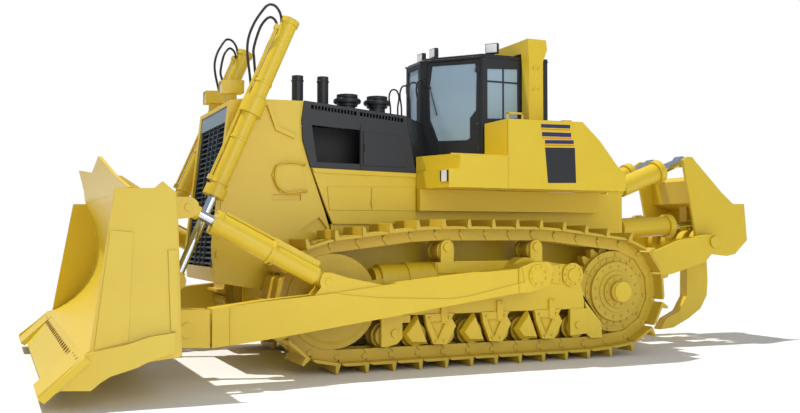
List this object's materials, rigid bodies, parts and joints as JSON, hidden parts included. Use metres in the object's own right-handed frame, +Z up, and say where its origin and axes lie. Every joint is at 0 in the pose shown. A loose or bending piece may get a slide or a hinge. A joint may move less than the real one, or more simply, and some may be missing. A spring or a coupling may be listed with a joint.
{
  "type": "crawler bulldozer",
  "caption": "Large crawler bulldozer with a semi-U blade on push arms, a hollow cab with roll-over frame and a single shank ripper.",
  "frame": {"origin": "on the ground under the middle of the overall length, on the plane of symmetry", "axes": "+X forward towards the blade, +Y to the left, +Z up"},
  "size_m": [11.438, 6.274, 4.646],
  "materials": {
    "machine_paint": "satin yellow paint",
    "black_paint": "satin black paint",
    "grille_paint": "satin blue grey paint",
    "engine_paint": "matt paint",
    "rod_chrome": "polished",
    "worn_steel": "worn steel",
    "cab_glass": "clear glass",
    "seat_cloth": "woven cloth"
  },
  "bodies": {
    "tractor": {"main_frame": "machine_paint", "nose_guard": "machine_paint", "radiator_grille": "grille_paint", "radiator_core": "grille_paint", "nose_lamps": "machine_paint", "engine_hood": "black_paint", "lower_panels": "machine_paint", "engine_block": "engine_paint", "exhaust_stacks": "black_paint", "air_cleaners": "black_paint", "tank_left": "machine_paint", "tank_right": "machine_paint", "cab_shell": "black_paint", "cab_seat": "seat_cloth", "rops_frame": "machine_paint", "ripper_bracket": "machine_paint", "track_frame_left": "machine_paint", "track_frame_right": "machine_paint", "track_left": "machine_paint", "track_right": "machine_paint", "sprockets": "machine_paint", "final_drives": "machine_paint", "idlers": "machine_paint", "track_rollers": "worn_steel", "carrier_rollers": "machine_paint"},
    "door_left": {"cab_door_left": "black_paint", "door_glass_left": "cab_glass"},
    "door_right": {"cab_door_right": "black_paint", "door_glass_right": "cab_glass"},
    "push_arms": {"push_arm_left": "machine_paint", "push_arm_right": "machine_paint"},
    "blade": {"moldboard": "machine_paint", "blade_ends": "machine_paint", "cutting_edge": "machine_paint", "spill_guard": "machine_paint"},
    "blade_lift_barrels": {"lift_barrels": "machine_paint"},
    "blade_lift_rods": {"lift_rods": "rod_chrome"},
    "blade_tilt_rods": {"tilt_rods": "machine_paint"},
    "blade_tilt_barrels": {"tilt_barrels": "machine_paint"},
    "ripper_link": {"ripper_arms": "machine_paint"},
    "ripper_pivot": {"ripper_pins": "machine_paint"},
    "ripper_tool": {"ripper_beam": "machine_paint", "ripper_shank": "machine_paint"},
    "ripper_tilt_base": {"ripper_tilt_barrels": "machine_paint"},
    "ripper_tilt_ram": {"ripper_tilt_rods": "rod_chrome"},
    "ripper_lift_base": {"ripper_lift_barrels": "machine_paint"},
    "ripper_lift_ram": {"ripper_lift_rods": "rod_chrome"}
  },
  "joints": [
    {"name": "blade_lift", "type": "hinge", "parent": "tractor", "child": "push_arms", "pos_m": [-0.55, 0, 1.205], "axis": [0, -1, 0], "range_deg": [-10.5, 13.5]},
    {"name": "blade_pitch", "type": "hinge", "parent": "push_arms", "child": "blade", "pos_m": [4.1, 0, 0.665], "axis": [0, 1, 0], "range_deg": [-5, 5]},
    {"name": "blade_lift_swing", "type": "hinge", "parent": "tractor", "child": "blade_lift_barrels", "pos_m": [3.10419, 0, 3.39203], "axis": [0, -1, 0], "range_deg": [-8.76, 11.15]},
    {"name": "blade_lift_stroke", "type": "slide", "parent": "blade_lift_barrels", "child": "blade_lift_rods", "axis": [0.3966, 0, -0.918], "range_m": [-1.03136, 0.81006]},
    {"name": "blade_tilt_swing", "type": "hinge", "parent": "push_arms", "child": "blade_tilt_rods", "pos_m": [2.4, 0, 1.18], "axis": [0, -1, 0], "range_deg": [-1.73, 1.73]},
    {"name": "blade_tilt_stroke", "type": "slide", "parent": "blade_tilt_rods", "child": "blade_tilt_barrels", "axis": [0.887, 0, 0.4618], "range_m": [-0.11278, 0.11278]},
    {"name": "ripper_lift", "type": "hinge", "parent": "tractor", "child": "ripper_link", "pos_m": [-3.05, 0, 1.18], "axis": [0, 1, 0], "range_deg": [-38, 20]},
    {"name": "ripper_level", "type": "hinge", "parent": "ripper_link", "child": "ripper_pivot", "pos_m": [-4.793, 0, 1.642], "axis": [0, 1, 0], "range_deg": [-21.16, 39.16]},
    {"name": "ripper_tilt", "type": "hinge", "parent": "ripper_pivot", "child": "ripper_tool", "pos_m": [-4.793, 0, 1.642], "axis": [0, 1, 0], "range_deg": [-11, 11]},
    {"name": "ripper_tilt_swing", "type": "hinge", "parent": "tractor", "child": "ripper_tilt_base", "pos_m": [-3.12, 0, 2.48], "axis": [0, -1, 0], "range_deg": [-25.79, 47.73]},
    {"name": "ripper_tilt_stroke", "type": "slide", "parent": "ripper_tilt_base", "child": "ripper_tilt_ram", "axis": [-0.9369, 0, 0.3496], "range_m": [-0.27294, 0.27294]},
    {"name": "ripper_lift_swing", "type": "hinge", "parent": "tractor", "child": "ripper_lift_base", "pos_m": [-3.08, 0, 1.85], "axis": [0, -1, 0], "range_deg": [-21.08, 39]},
    {"name": "ripper_lift_stroke", "type": "slide", "parent": "ripper_lift_base", "child": "ripper_lift_ram", "axis": [-0.9985, 0, 0.0541], "range_m": [-0.13085, 0.24208]},
    {"name": "cab_door_left_swing", "type": "hinge", "parent": "tractor", "child": "door_left", "pos_m": [-0.265, 1.03, 3.5], "axis": [0, 0, 1], "range_deg": [0, 85]},
    {"name": "cab_door_right_swing", "type": "hinge", "parent": "tractor", "child": "door_right", "pos_m": [-0.265, -1.03, 3.5], "axis": [0, 0, -1], "range_deg": [0, 85]}
  ],
  "couplings": [
    {"joint": "blade_lift_swing", "follows": "blade_lift", "ratio": 0.79757},
    {"joint": "blade_lift_stroke", "follows": "blade_lift", "m_per_rad": -4.2265},
    {"joint": "blade_tilt_swing", "follows": "blade_pitch", "ratio": -0.33308},
    {"joint": "blade_tilt_stroke", "follows": "blade_pitch", "m_per_rad": 1.2416},
    {"joint": "ripper_level", "follows": "ripper_lift", "ratio": -1},
    {"joint": "ripper_tilt_swing", "follows": "ripper_lift", "ratio": -1.2188},
    {"joint": "ripper_tilt_stroke", "follows": "ripper_tilt", "m_per_rad": -1.3665},
    {"joint": "ripper_lift_swing", "follows": "ripper_lift", "ratio": -0.99602},
    {"joint": "ripper_lift_stroke", "follows": "ripper_lift", "m_per_rad": -0.35404}
  ]
}
